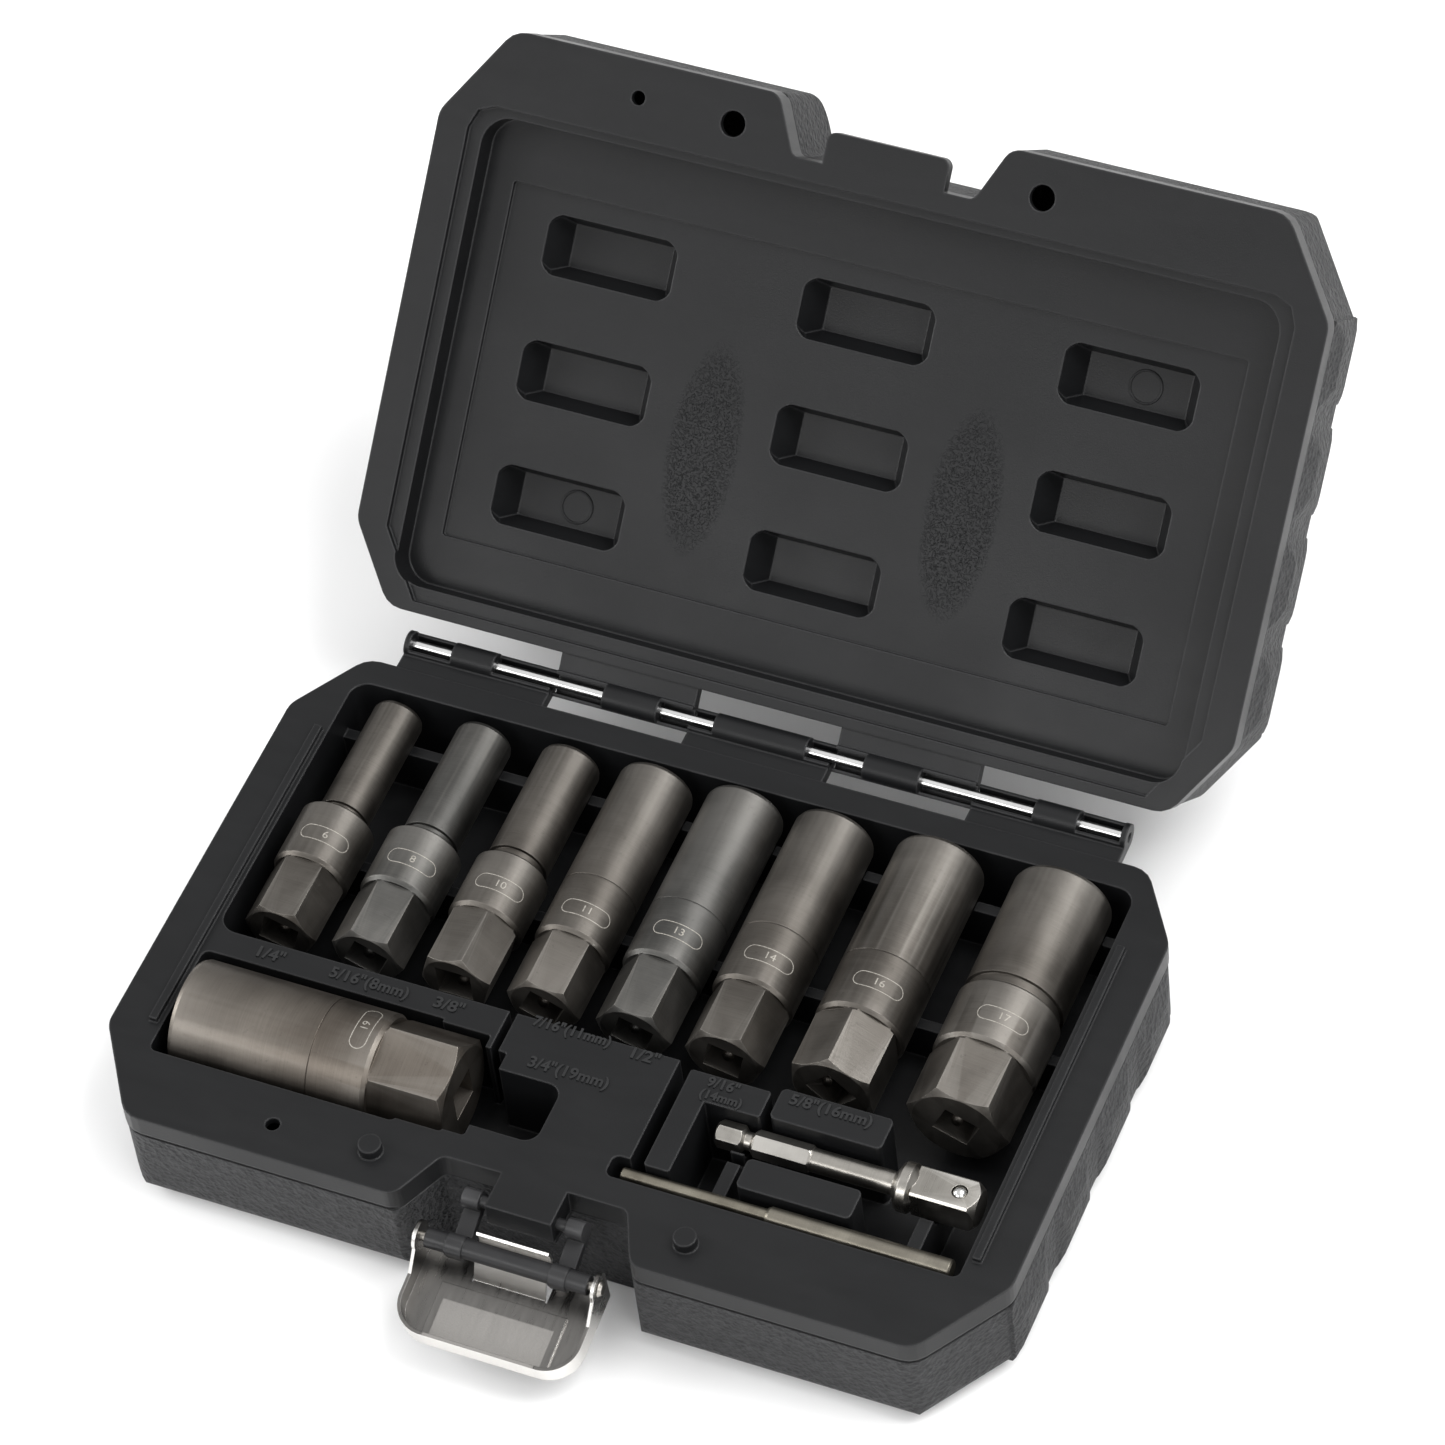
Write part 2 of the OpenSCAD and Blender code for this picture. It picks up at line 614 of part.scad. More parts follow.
module detent_ball() {
    color(nickel) translate([ball_x, adaptor_y, ball_z]) sphere(r = ball_radius, $fn = 32);
}

module detent_spring() {
    coil_radius = 1.15;
    color(nickel) translate([ball_x, adaptor_y, spring_bottom])
        linear_extrude(spring_top - spring_bottom, twist = -1440, slices = 64, $fn = 8)
        translate([coil_radius, 0]) circle(r = spring_wire);
}

module knockout_pin() {
    total = thin_length + thick_length;
    color(gunmetal) translate([knockout_start, knockout_y, knockout_z]) rotate([0, 90, 0])
        rotate_extrude() polygon([[0, 0], [thin_radius - 0.4, 0], [thin_radius, 0.4], [thin_radius, thin_length],
            [thick_radius - 0.5, thin_length], [thick_radius, thin_length + 0.8], [thick_radius, total - 0.5],
            [thick_radius - 0.5, total], [0, total]]);
}

base_shell();
lid_shell();
hinge_pin_left();
hinge_pin_right();
latch_link();
latch_rivets();
latch_plate();
socket_6mm();
socket_8mm();
socket_10mm();
socket_11mm();
socket_13mm();
socket_14mm();
socket_16mm();
socket_17mm();
socket_19mm();
adaptor();
detent_spring();
detent_ball();
knockout_pin();
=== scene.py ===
import math
import bpy
import bmesh
from mathutils import Matrix, Vector


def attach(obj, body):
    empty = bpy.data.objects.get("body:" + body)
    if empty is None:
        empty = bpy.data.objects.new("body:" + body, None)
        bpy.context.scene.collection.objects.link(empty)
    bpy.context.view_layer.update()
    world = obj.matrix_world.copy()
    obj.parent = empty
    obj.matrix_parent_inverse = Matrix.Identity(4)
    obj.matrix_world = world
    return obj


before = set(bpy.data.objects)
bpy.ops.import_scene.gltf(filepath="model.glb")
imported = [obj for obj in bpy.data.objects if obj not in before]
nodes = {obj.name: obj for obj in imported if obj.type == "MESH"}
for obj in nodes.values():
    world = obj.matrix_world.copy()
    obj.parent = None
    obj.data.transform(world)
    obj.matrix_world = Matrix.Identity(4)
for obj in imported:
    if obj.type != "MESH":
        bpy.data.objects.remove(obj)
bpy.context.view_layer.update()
scene = bpy.context.scene
MM = 0.001
# The case in mm: height of the base's rim, hinge axis, and the angle of the open lid
RIM = 35.0
HINGE = Vector((0, 86.15, RIM))
OPEN = math.radians(134)


# ---------------------------------------------------------------- node helpers
class Tree:
    """A material's node tree, with short ways to add and link nodes."""

    def __init__(self, name):
        self.mat = bpy.data.materials.new(name)
        self.mat.use_nodes = True
        self.tree = self.mat.node_tree
        self.bsdf = self.tree.nodes["Principled BSDF"]

    def add(self, kind, **values):
        n = self.tree.nodes.new(kind)
        for k, v in values.items():
            setattr(n, k, v)
        return n

    def link(self, a, b):
        self.tree.links.new(a, b)

    def put(self, socket, value):
        if hasattr(value, "links"):
            self.link(value, socket)
        else:
            socket.default_value = value

    def math(self, op, a, b=0.0, c=0.0, clamp=False):
        n = self.add("ShaderNodeMath", operation=op, use_clamp=clamp)
        for s, v in zip(n.inputs, (a, b, c)):
            self.put(s, v)
        return n.outputs[0]

    def ramp(self, value, a, b, lo=0.0, hi=1.0, smooth=True):
        n = self.add("ShaderNodeMapRange")
        n.interpolation_type = "SMOOTHSTEP" if smooth else "LINEAR"
        for s, v in zip(n.inputs, (value, a, b, lo, hi)):
            self.put(s, v)
        return n.outputs[0]

    def noise(self, vec, scale, detail=3.0, rough=0.5, distortion=0.0):
        n = self.add("ShaderNodeTexNoise")
        self.put(n.inputs["Vector"], vec)
        n.inputs["Scale"].default_value = scale
        n.inputs["Detail"].default_value = detail
        n.inputs["Roughness"].default_value = rough
        n.inputs["Distortion"].default_value = distortion
        return n.outputs["Fac"]

    def cells(self, vec, scale):
        n = self.add("ShaderNodeTexVoronoi")
        self.put(n.inputs["Vector"], vec)
        n.inputs["Scale"].default_value = scale
        return n.outputs["Distance"]

    def scaled(self, vec, scale):
        n = self.add("ShaderNodeMapping")
        self.link(vec, n.inputs["Vector"])
        n.inputs["Scale"].default_value = scale
        return n.outputs[0]

    def mix(self, fac, a, b):
        n = self.add("ShaderNodeMix", data_type="RGBA")
        self.put(n.inputs[0], fac)
        for s, v in ((n.inputs[6], a), (n.inputs[7], b)):
            self.put(s, (*v, 1.0) if isinstance(v, tuple) and len(v) == 3 else v)
        return n.outputs[2]

    def rounded(self, radius):
        """Normals that round the sharp edges off by a small radius."""
        n = self.add("ShaderNodeBevel", samples=4)
        n.inputs["Radius"].default_value = radius
        return n.outputs[0]

    def bump(self, height, distance, strength=1.0, normal=None):
        n = self.add("ShaderNodeBump")
        n.inputs["Strength"].default_value = strength
        n.inputs["Distance"].default_value = distance
        self.link(height, n.inputs["Height"])
        if normal is not None:
            self.link(normal, n.inputs["Normal"])
        return n.outputs[0]

    def place(self):
        """A point's place on the object in its own frame, in metres."""
        return self.add("ShaderNodeTexCoord").outputs["Object"]

    def axes(self, vec):
        """The x, y and z outputs of a vector."""
        n = self.add("ShaderNodeSeparateXYZ")
        self.link(vec, n.inputs[0])
        return n.outputs

    def edge(self, lo, hi):
        """1 along convex edges, 0 on flat faces, from the mesh's pointiness."""
        g = self.add("ShaderNodeNewGeometry")
        return self.ramp(g.outputs["Pointiness"], lo, hi)


# ---------------------------------------------------------------- materials
# Where the case's grain starts, in metres: outside these walls, and past these heights
SIDE_WALL, FRONT_WALL, BACK_WALL = 0.1128, -0.0585, 0.0716
BASE_BAND, BASE_UNDERSIDE = 0.0276, 0.0010
LID_BAND, LID_TOP = 0.0424, 0.0690
# Middles and half-sizes of the two stippled patches on the lid's panel
PATCHES = ((-0.0362, 0.018), (0.0362, 0.018))
PATCH_X, PATCH_Y = 0.0095, 0.027


def grained_skin(t, x, y, z, lid):
    """1 on the grained outside of a shell, 0 on the smooth band and inside."""
    sides = t.math("MAXIMUM", t.ramp(t.math("ABSOLUTE", x), SIDE_WALL, SIDE_WALL + 0.0004),
                   t.ramp(y, FRONT_WALL, FRONT_WALL - 0.0005))
    sides = t.math("MAXIMUM", sides, t.ramp(y, BACK_WALL, BACK_WALL + 0.0004))
    if lid:
        skin = t.math("MULTIPLY", t.ramp(z, LID_BAND, LID_BAND + 0.0006), sides)
        return t.math("MAXIMUM", skin, t.ramp(z, LID_TOP, LID_TOP + 0.0004))
    skin = t.math("MULTIPLY", t.ramp(z, BASE_BAND, BASE_BAND - 0.0006), sides)
    return t.math("MAXIMUM", skin, t.ramp(z, BASE_UNDERSIDE, BASE_UNDERSIDE - 0.0004))


def stippled_patches(t, here, x, y, z):
    """Height of the rough oval patches on the lid's panel."""
    patches = None
    for px, py in PATCHES:
        dx = t.math("DIVIDE", t.math("SUBTRACT", x, px), PATCH_X)
        dy = t.math("DIVIDE", t.math("SUBTRACT", y, py), PATCH_Y)
        r = t.math("ADD", t.math("MULTIPLY", dx, dx), t.math("MULTIPLY", dy, dy))
        one = t.ramp(r, 1.25, 0.35)
        patches = one if patches is None else t.math("MAXIMUM", patches, one)
    patches = t.math("MULTIPLY", patches, t.ramp(z, 0.0500, 0.0475))
    stipple = t.ramp(t.noise(here, 1100.0, 2.0, 0.7), 0.50, 0.58)
    return t.math("MULTIPLY", t.math("MULTIPLY", patches, stipple), 0.55)


def case_material(name, lid):
    """Blow-moulded polyethylene: grained outside below the smooth band, satin inside."""
    t = Tree(name)
    here = t.place()
    if lid:
        turn = t.add("ShaderNodeVectorRotate", rotation_type="X_AXIS")
        t.link(here, turn.inputs["Vector"])
        turn.inputs["Center"].default_value = HINGE * MM
        turn.inputs["Angle"].default_value = OPEN
        here = turn.outputs[0]
    x, y, z = t.axes(here)
    skin = grained_skin(t, x, y, z, lid)
    pebbles = t.cells(here, 620.0)
    creases = t.noise(here, 430.0, 3.0, 0.6, 1.4)
    grain = t.math("ADD", t.math("MULTIPLY", pebbles, 0.6), t.math("MULTIPLY", creases, 0.9))
    fine = t.noise(here, 2600.0, 2.0, 0.5)
    broad = t.noise(here, 22.0, 3.0, 0.55)
    flow = t.noise(t.scaled(here, (30.0, 120.0, 60.0)), 1.0, 4.0, 0.6, 0.8)
    coarse = t.math("MULTIPLY", t.math("MULTIPLY", grain, skin), 1.9)
    height = t.math("ADD", coarse, t.math("MULTIPLY", fine, 0.05))
    if lid:
        height = t.math("ADD", height, stippled_patches(t, here, x, y, z))
    height = t.math("ADD", height, t.math("MULTIPLY", broad, 0.25))
    rounded = t.rounded(0.0008)
    t.link(t.bump(height, 0.0008, 0.9, rounded), t.bsdf.inputs["Normal"])
    # Edges, where the rounded normal leaves the face's own, are painted paler: partly rubbed wear,
    # partly a painted highlight along the rims
    rim = t.add("ShaderNodeVectorMath", operation="DOT_PRODUCT")
    t.link(rounded, rim.inputs[0])
    t.link(t.add("ShaderNodeNewGeometry").outputs["Normal"], rim.inputs[1])
    rubbed_edge_highlight = t.ramp(rim.outputs["Value"], 0.995, 0.88)
    inside = t.mix(flow, (0.0045, 0.0047, 0.0052), (0.0085, 0.0088, 0.0095))
    outside = t.mix(grain, (0.008, 0.0082, 0.009), (0.034, 0.0345, 0.036))
    colour = t.mix(skin, inside, outside)
    # Paler colour on the edges: rubbed wear together with a painted highlight
    colour = t.mix(t.math("MULTIPLY", rubbed_edge_highlight, 0.55), colour, (0.058, 0.058, 0.060))
    t.link(colour, t.bsdf.inputs["Base Color"])
    rough = t.math("ADD", t.ramp(broad, 0.3, 0.7, 0.34, 0.44), t.math("MULTIPLY", skin, 0.16))
    uneven = t.math("MULTIPLY", t.math("SUBTRACT", flow, 0.5), 0.10)
    t.link(t.math("ADD", rough, uneven), t.bsdf.inputs["Roughness"])
    t.bsdf.inputs["Specular IOR Level"].default_value = 0.26
    return t.mat


def black_plastic(name):
    """Injection-moulded black plastic of the latch's link."""
    t = Tree(name)
    here = t.place()
    fine = t.noise(here, 1800.0, 3.0, 0.6)
    broad = t.noise(here, 90.0, 3.0, 0.5)
    colour = t.mix(broad, (0.011, 0.011, 0.012), (0.021, 0.021, 0.022))
    colour = t.mix(t.math("MULTIPLY", t.edge(0.53, 0.65), 0.4), colour, (0.06, 0.06, 0.062))
    t.link(colour, t.bsdf.inputs["Base Color"])
    t.link(t.ramp(broad, 0.3, 0.7, 0.30, 0.42), t.bsdf.inputs["Roughness"])
    t.link(t.bump(fine, 0.00004, 0.7, t.rounded(0.0006)), t.bsdf.inputs["Normal"])
    t.bsdf.inputs["Specular IOR Level"].default_value = 0.35
    return t.mat


def steel(name, dark, light, rough, turned, lanes, mottling=40.0, edge_colour=(0.34, 0.325, 0.30)):
    """Metal with tool marks, mottling and bright worn edges. turned scales the marks along each
    axis, lanes is their height and mottling how close the stains stand."""
    t = Tree(name)
    here = t.place()
    marks = t.noise(t.scaled(here, turned), 1.0, 3.0, 0.6)
    grit = t.noise(here, 2400.0, 2.0, 0.5)
    stain = t.noise(here, mottling, 4.0, 0.6, 0.4)
    specks = t.ramp(t.noise(here, 650.0, 3.0, 0.7), 0.60, 0.72)
    tone = t.math("ADD", t.math("MULTIPLY", stain, 0.75), t.math("MULTIPLY", marks, 0.25))
    colour = t.mix(t.ramp(tone, 0.30, 0.70), dark, light)
    colour = t.mix(t.math("MULTIPLY", specks, 0.25), colour, tuple(c * 0.55 for c in dark))
    colour = t.mix(t.math("MULTIPLY", t.edge(0.53, 0.62), 0.55), colour, edge_colour)
    t.link(colour, t.bsdf.inputs["Base Color"])
    t.bsdf.inputs["Metallic"].default_value = 1.0
    level = t.ramp(tone, 0.25, 0.75, rough - 0.05, rough + 0.07)
    t.link(t.math("ADD", level, t.math("MULTIPLY", specks, 0.08)), t.bsdf.inputs["Roughness"])
    height = t.math("ADD", t.math("MULTIPLY", marks, lanes), t.math("MULTIPLY", grit, 0.4))
    t.link(t.bump(height, 0.00004, 0.8, t.rounded(0.00025)), t.bsdf.inputs["Normal"])
    return t.mat


# Half-width and front limit of the plate's sandblasted panel, in metres
PANEL_X, PANEL_Y = 0.0152, -0.0902


def plate_material(name):
    """Nickel-plated sheet, sandblasted in the pressed panel: painted bright on the faces turned to the
    front and outward sides, and painted dark elsewhere as painted shade.
    """
    t = Tree(name)
    here = t.place()
    fine = t.noise(here, 1900.0, 3.0, 0.65)
    swirl = t.noise(t.scaled(here, (700.0, 90.0, 90.0)), 1.0, 4.0, 0.6, 0.5)
    x, y, z = t.axes(here)
    panel = t.math("MULTIPLY", t.ramp(t.math("ABSOLUTE", x), PANEL_X, PANEL_X - 0.0004),
                   t.ramp(y, PANEL_Y, PANEL_Y - 0.0004))
    # Faces turned to the front and outward sides get a painted highlight, a colour far lighter than
    # the rest of the sheet
    facing = t.axes(t.add("ShaderNodeTexCoord").outputs["Normal"])
    side = t.math("MULTIPLY", t.math("SIGN", x), facing[0])
    front = t.math("MULTIPLY", facing[1], -1.0)
    lit_facing = t.math("MAXIMUM", t.ramp(front, 0.15, 0.5), t.ramp(side, 0.15, 0.5))
    # The dull sheet and the panel get colours much darker than nickel: painted shade that keeps the
    # top lamp's reflection from burning out
    shaded_dull = t.mix(swirl, (0.100, 0.096, 0.091), (0.170, 0.164, 0.156))
    colour = t.mix(panel, shaded_dull, (0.250, 0.240, 0.228))
    colour = t.mix(lit_facing, colour, (0.72, 0.705, 0.68))
    t.link(colour, t.bsdf.inputs["Base Color"])
    t.bsdf.inputs["Metallic"].default_value = 1.0
    rough = t.math("ADD", t.ramp(swirl, 0.3, 0.7, 0.26, 0.38), t.math("MULTIPLY", panel, 0.20))
    t.link(rough, t.bsdf.inputs["Roughness"])
    height = t.math("MULTIPLY", fine, t.math("ADD", t.math("MULTIPLY", panel, 0.8), 0.2))
    t.link(t.bump(height, 0.00006, 0.8, t.rounded(0.0003)), t.bsdf.inputs["Normal"])
    return t.mat


def raised_ink(name):
    """Face of the moulded numbers: the tray's plastic, polished a little by handling."""
    t = Tree(name)
    here = t.place()
    n = t.noise(here, 700.0, 3.0, 0.6)
    t.link(t.mix(n, (0.0060, 0.0062, 0.0068), (0.0120, 0.0124, 0.0132)), t.bsdf.inputs["Base Color"])
    t.link(t.ramp(n, 0.3, 0.7, 0.26, 0.38), t.bsdf.inputs["Roughness"])
    t.link(t.bump(n, 0.00003, 0.6), t.bsdf.inputs["Normal"])
    return t.mat


def etch(name):
    """Laser-etched mark on the sockets: pale, rough and slightly broken."""
    t = Tree(name)
    here = t.place()
    n = t.noise(here, 2200.0, 3.0, 0.7)
    colour = t.mix(t.ramp(n, 0.35, 0.6), (0.24, 0.225, 0.20), (0.40, 0.38, 0.34))
    t.link(colour, t.bsdf.inputs["Base Color"])
    t.bsdf.inputs["Metallic"].default_value = 0.6
    t.link(t.ramp(n, 0.3, 0.7, 0.5, 0.7), t.bsdf.inputs["Roughness"])
    return t.mat


base_mat = case_material("case_base", False)
lid_mat = case_material("case_lid", True)
link_mat = black_plastic("latch_link_black")
plate_mat = plate_material("latch_nickel")
label_mat = raised_ink("moulded_numbers")
etch_mat = etch("etched_mark")
# Scales that draw the tool marks across a turned piece's axis
ALONG_Y, ALONG_X = (60.0, 4200.0, 60.0), (4200.0, 60.0, 60.0)
EVEN, EVEN_BALL = (900.0, 900.0, 900.0), (300.0, 300.0, 300.0)
warm = steel("socket_warm", (0.088, 0.080, 0.071), (0.150, 0.138, 0.124), 0.42, ALONG_Y, 0.7)
cool = steel("socket_cool", (0.078, 0.077, 0.073), (0.132, 0.129, 0.123), 0.43, ALONG_Y, 0.7)
brown = steel("socket_brown", (0.105, 0.090, 0.076), (0.175, 0.155, 0.134), 0.41, ALONG_X, 0.7)
nickel = steel("adaptor_nickel", (0.30, 0.285, 0.26), (0.44, 0.42, 0.385), 0.30, ALONG_X, 0.6,
               60.0, (0.8, 0.78, 0.74))
oiled = steel("knockout_steel", (0.17, 0.155, 0.125), (0.27, 0.25, 0.205), 0.36, ALONG_X, 0.8, 60.0)
wire = steel("hinge_wire", (0.62, 0.62, 0.62), (0.80, 0.80, 0.79), 0.17, ALONG_X, 0.5,
             120.0, (0.9, 0.9, 0.9))
spring = steel("spring_wire", (0.40, 0.40, 0.40), (0.55, 0.55, 0.54), 0.30, EVEN, 0.5)
ball = steel("ball_steel", (0.62, 0.62, 0.61), (0.78, 0.78, 0.77), 0.14, EVEN_BALL, 0.2)

# Material of each node; the sockets not named here are warm
paint = {"base_shell": base_mat, "lid_shell": lid_mat, "hinge_pin_left": wire,
         "hinge_pin_right": wire, "latch_link": link_mat, "latch_rivets": nickel,
         "latch_plate": plate_mat, "adaptor": nickel, "detent_spring": spring,
         "detent_ball": ball, "knockout_pin": oiled, "socket_19mm": brown,
         "socket_8mm": cool, "socket_13mm": cool}
for name, obj in nodes.items():
    obj.data.materials.clear()
    obj.data.materials.append(paint.get(name, warm))


# ---------------------------------------------------------------- small pieces
def mesh_object(name, verts, faces, material, body, smooth=False):
    """A small piece from points in mm, that rides with a body."""
    me = bpy.data.meshes.new(name)
    me.from_pydata([tuple(v * MM for v in p) for p in verts], [], faces)
    me.update()
    bm = bmesh.new()
    bm.from_mesh(me)
    bmesh.ops.recalc_face_normals(bm, faces=bm.faces)
    bm.to_mesh(me)
    bm.free()
    for p in me.polygons:
        p.use_smooth = smooth
    me.materials.append(material)
    obj = bpy.data.objects.new(name, me)
    scene.collection.objects.link(obj)
    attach(obj, body)


def text_shape(words, size, depth, squeeze=1.0, offset=0.0):
    """Vertices in mm, about the middle of the words, with faces, of a raised text."""
    cu = bpy.data.curves.new("words", "FONT")
    cu.body = words
    cu.size = size
    cu.extrude = depth / 2
    cu.offset = offset
    cu.align_x = "CENTER"
    cu.align_y = "CENTER"
    cu.resolution_u = 4
    cu.space_line = 0.9
    tmp = bpy.data.objects.new("words", cu)
    scene.collection.objects.link(tmp)
    bpy.context.view_layer.update()
    me = bpy.data.meshes.new_from_object(tmp.evaluated_get(bpy.context.evaluated_depsgraph_get()))
    verts = [(v.co.x * squeeze, v.co.y, v.co.z + depth / 2) for v in me.vertices]
    faces = [tuple(p.vertices) for p in me.polygons]
    bpy.data.objects.remove(tmp)
    bpy.data.meshes.remove(me)
    return verts, faces


def joined(parts):
    """One list of points and one of faces from several."""
    verts, faces = [], []
    for vs, fs in parts:
        n = len(verts)
        verts += vs
        faces += [tuple(i + n for i in f) for f in fs]
    return verts, faces


def tray_number(name, words, x, y, size=4.6, squeeze=1.12):
    """A raised size number, sunk a little into the tray's top."""
    verts, faces = text_shape(words, size, 0.45, squeeze, 0.12)
    placed = [(x + a, y + b, RIM + c - 0.07) for a, b, c in verts]
    mesh_object(name, placed, faces, label_mat, "base")


def ring_profile(loop, width, height, steps=48):
    """A closed raised line along loop(t), a function from 0..1 to (x, y), flat on z = 0."""
    verts, faces = [], []
    for k in range(steps):
        p, q = Vector(loop(k / steps)), Vector(loop((k + 0.01) / steps))
        d = (q - p).normalized()
        side = Vector((-d.y, d.x)) * width / 2
        for s, h in ((-1, 0), (-0.6, height), (0.6, height), (1, 0)):
            v = p + side * s
            verts.append((v.x, v.y, h))
    for k in range(steps):
        n = (k + 1) % steps
        for j in range(4):
            faces.append((4 * k + j, 4 * k + (j + 1) % 4, 4 * n + (j + 1) % 4, 4 * n + j))
    return verts, faces


def circle(cx, cy, r):
    """A circle as a function from 0..1 to (x, y)."""
    return lambda t: (cx + r * math.cos(2 * math.pi * t), cy + r * math.sin(2 * math.pi * t))


def stadium(length, height):
    """Outline of a bar with round ends, about the origin."""
    r, straight = height / 2, length - height
    total = 2 * straight + 2 * math.pi * r

    def at(t):
        s = (t % 1.0) * total
        if s < straight:
            return (s - straight / 2, -r)
        s -= straight
        if s < math.pi * r:
            a = s / r - math.pi / 2
            return (straight / 2 + r * math.cos(a), r * math.sin(a))
        s -= math.pi * r
        if s < straight:
            return (straight / 2 - s, r)
        a = (s - straight) / r + math.pi / 2
        return (-straight / 2 + r * math.cos(a), r * math.sin(a))

    return at


def lid_point(x, y, z):
    """A point of the closed lid, in mm, at its place on the open lid."""
    return Matrix.Rotation(-OPEN, 3, "X") @ (Vector((x, y, z)) - HINGE) + HINGE


# Moulded size numbers on the tray
tray_number("number_6mm", '1/4"', -92.7, -20.15)
tray_number("number_8mm", '5/16"(8mm)', -64.6, -20.05, 4.6, 1.0)
tray_number("number_10mm", '3/8"', -42.4, -20.05)
tray_number("number_11mm", '7/16"(11mm)', -9.4, -17.25, 4.2, 0.96)
tray_number("number_13mm", '1/2"', 10.8, -18.45)
tray_number("number_19mm", '3/4"(19mm)', -5.2, -29.35, 4.6, 1.0)
tray_number("number_14mm_inch", '9/16"', 33.2, -20.35, 4.0, 1.0)
tray_number("number_14mm", "(14mm)", 34.1, -24.2, 3.6, 1.0)
tray_number("number_16mm", '5/8"(16mm)', 61.6, -18.65, 4.4, 1.05)


# Etched marks: the bolt size inside a plain outline, wrapped round the collar.
# The outline's length and height, and how far the mark lies off the collar, in mm.
MARK_LENGTH, MARK_HEIGHT, MARK_LIFT = 14.0, 4.4, 0.012


def etched_mark(name, size_text, centre, axis, radius, angle, body):
    """axis is 'y' or 'x', centre a point on the socket's axis, angle the turn from straight up."""
    outline = ring_profile(stadium(MARK_LENGTH, MARK_HEIGHT), 0.24, 0.02, 72)
    inner = text_shape(size_text, 3.0, 0.02, 1.1, 0.0)
    verts, faces = joined([outline, inner])
    placed = []
    for u, v, w in verts:
        a = math.radians(angle) + u / radius
        r = radius + MARK_LIFT + w
        side, up = r * math.sin(a), r * math.cos(a)
        if axis == "y":
            placed.append((centre[0] + side, centre[1] + v, centre[2] + up))
        else:
            placed.append((centre[0] - v, centre[1] + side, centre[2] + up))
    mesh_object(name, placed, faces, etch_mat, body)


# The sockets in the long bay: y of their back ends and z of their axes, then for each one
# its size, its x, its collar's radius and how far in front of its back end the mark is
BACK, AXIS_Z = 66.55, 29.5
LONG_SOCKETS = (("6", -96.0, 10.3, 49.5), ("8", -71.2, 10.4, 49.5), ("10", -46.4, 10.2, 49.5),
                ("11", -22.0, 10.3, 50.0), ("13", 3.0, 10.8, 49.0), ("14", 28.0, 11.0, 49.0),
                ("16", 57.3, 12.2, 48.5), ("17", 90.9, 13.9, 49.5))
for size_text, x, radius, behind in LONG_SOCKETS:
    centre = (x, BACK - behind, AXIS_Z)
    etched_mark("mark_%smm" % size_text, size_text, centre, "y", radius, 14, "socket_%smm" % size_text)
etched_mark("mark_19mm", "19", (-56.0, -40.55, AXIS_Z), "x", 15.1, 8, "socket_19mm")

# Round insert marks inside the lid, on the floors of two pockets
POCKET_FLOOR = 55.9
for k, (x, y, radius) in enumerate(((-70.5, 42.75, 4.3), (74.5, -24.65, 4.3))):
    verts, faces = ring_profile(circle(x, y, radius), 0.7, 0.35)
    placed = [lid_point(a, b, POCKET_FLOOR - c) for a, b, c in verts]
    mesh_object("lid_insert_%d" % (k + 1), placed, faces, lid_mat, "lid", True)


# ---------------------------------------------------------------- floor, light and camera
floor_mesh = bpy.data.meshes.new("floor")
corners = [(-4, -4, 0), (4, -4, 0), (4, 4, 0), (-4, 4, 0)]
floor_mesh.from_pydata(corners, [], [(0, 1, 2, 3)])
floor = bpy.data.objects.new("floor", floor_mesh)
scene.collection.objects.link(floor)
floor.location.z = -0.0002
pale = Tree("pale_floor")
tone = pale.mix(pale.noise(pale.place(), 6.0), (0.90, 0.90, 0.90), (0.93, 0.93, 0.93))
pale.link(tone, pale.bsdf.inputs["Base Color"])
pale.bsdf.inputs["Roughness"].default_value = 0.9
floor_mesh.materials.append(pale.mat)

world = bpy.data.worlds.new("studio")
scene.world = world
world.use_nodes = True
sky = world.node_tree
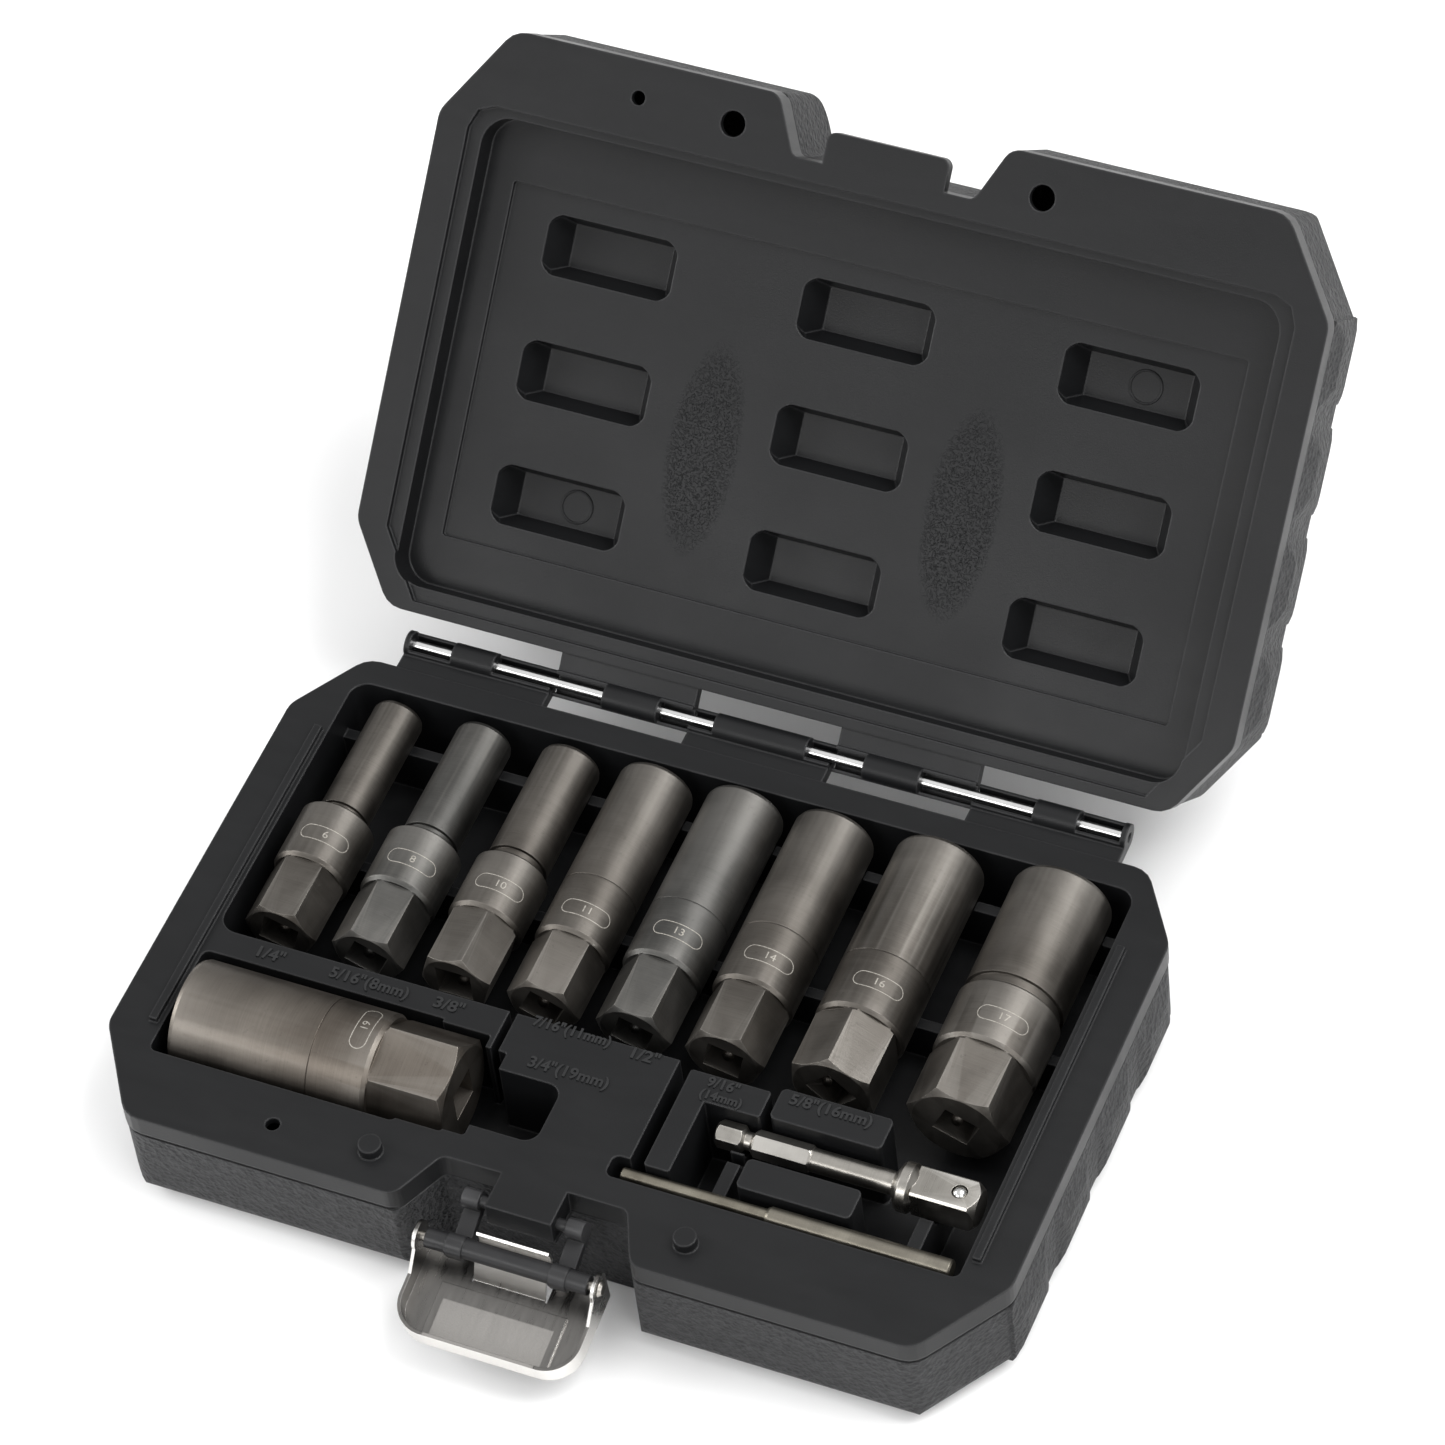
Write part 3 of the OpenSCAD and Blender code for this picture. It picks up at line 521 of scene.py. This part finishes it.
# The sky brightens from the horizon to straight up
sky_place = sky.nodes.new("ShaderNodeTexCoord")
sky_split = sky.nodes.new("ShaderNodeSeparateXYZ")
sky_ramp = sky.nodes.new("ShaderNodeMapRange")
sky.links.new(sky_place.outputs["Generated"], sky_split.inputs[0])
sky.links.new(sky_split.outputs[2], sky_ramp.inputs[0])
for socket, value in zip(sky_ramp.inputs[1:5], (0.0, 0.9, 0.30, 0.85)):
    socket.default_value = value
sky.links.new(sky_ramp.outputs[0], sky.nodes["Background"].inputs[1])
sky.nodes["Background"].inputs[0].default_value = (1.0, 1.0, 1.0, 1.0)


def softbox(name, place, aim, size, power):
    """A rectangular lamp at a place, turned to its aim. Sizes are in metres, power in watts."""
    data = bpy.data.lights.new(name, "AREA")
    data.shape = "RECTANGLE"
    data.size, data.size_y = size
    data.energy = power
    lamp = bpy.data.objects.new(name, data)
    scene.collection.objects.link(lamp)
    lamp.location = place
    lamp.rotation_euler = (Vector(aim) - Vector(place)).to_track_quat("-Z", "Y").to_euler()


softbox("top_light", (0.70, 0.25, 1.25), (0, 0.0, 0.03), (0.9, 0.9), 17.0)
softbox("left_light", (-1.2, -0.25, 0.65), (0, 0.05, 0.05), (0.6, 1.0), 11.0)
softbox("right_light", (1.0, -0.7, 0.7), (0, 0.05, 0.05), (0.6, 0.8), 5.0)
softbox("front_light", (-0.35, -1.25, 0.75), (0, 0.0, 0.08), (0.9, 0.5), 6.0)

# The camera's focal length in pixels of a 1445 pixel wide picture, its place and its axes
FOCAL_PIXELS, PICTURE_WIDTH, SENSOR = 6702.83, 1445, 36.0
PLACE = (0.518028, -0.888082, 1.382648)
RIGHT = Vector((0.9199542, 0.3827677, -0.0846939))
UP = Vector((-0.2480611, 0.7356599, 0.6302937))
BACKWARD = Vector((0.3035620, -0.5588321, 0.7717233))
camera_data = bpy.data.cameras.new("camera")
camera_data.sensor_fit = "HORIZONTAL"
camera_data.sensor_width = SENSOR
camera_data.lens = FOCAL_PIXELS / PICTURE_WIDTH * SENSOR
camera_data.clip_start = 0.05
camera = bpy.data.objects.new("camera", camera_data)
scene.collection.objects.link(camera)
turn = Matrix((RIGHT, UP, BACKWARD)).transposed().to_4x4()
camera.matrix_world = Matrix.Translation(PLACE) @ turn
scene.camera = camera
scene.view_settings.view_transform = "Standard"
scene.view_settings.look = "None"
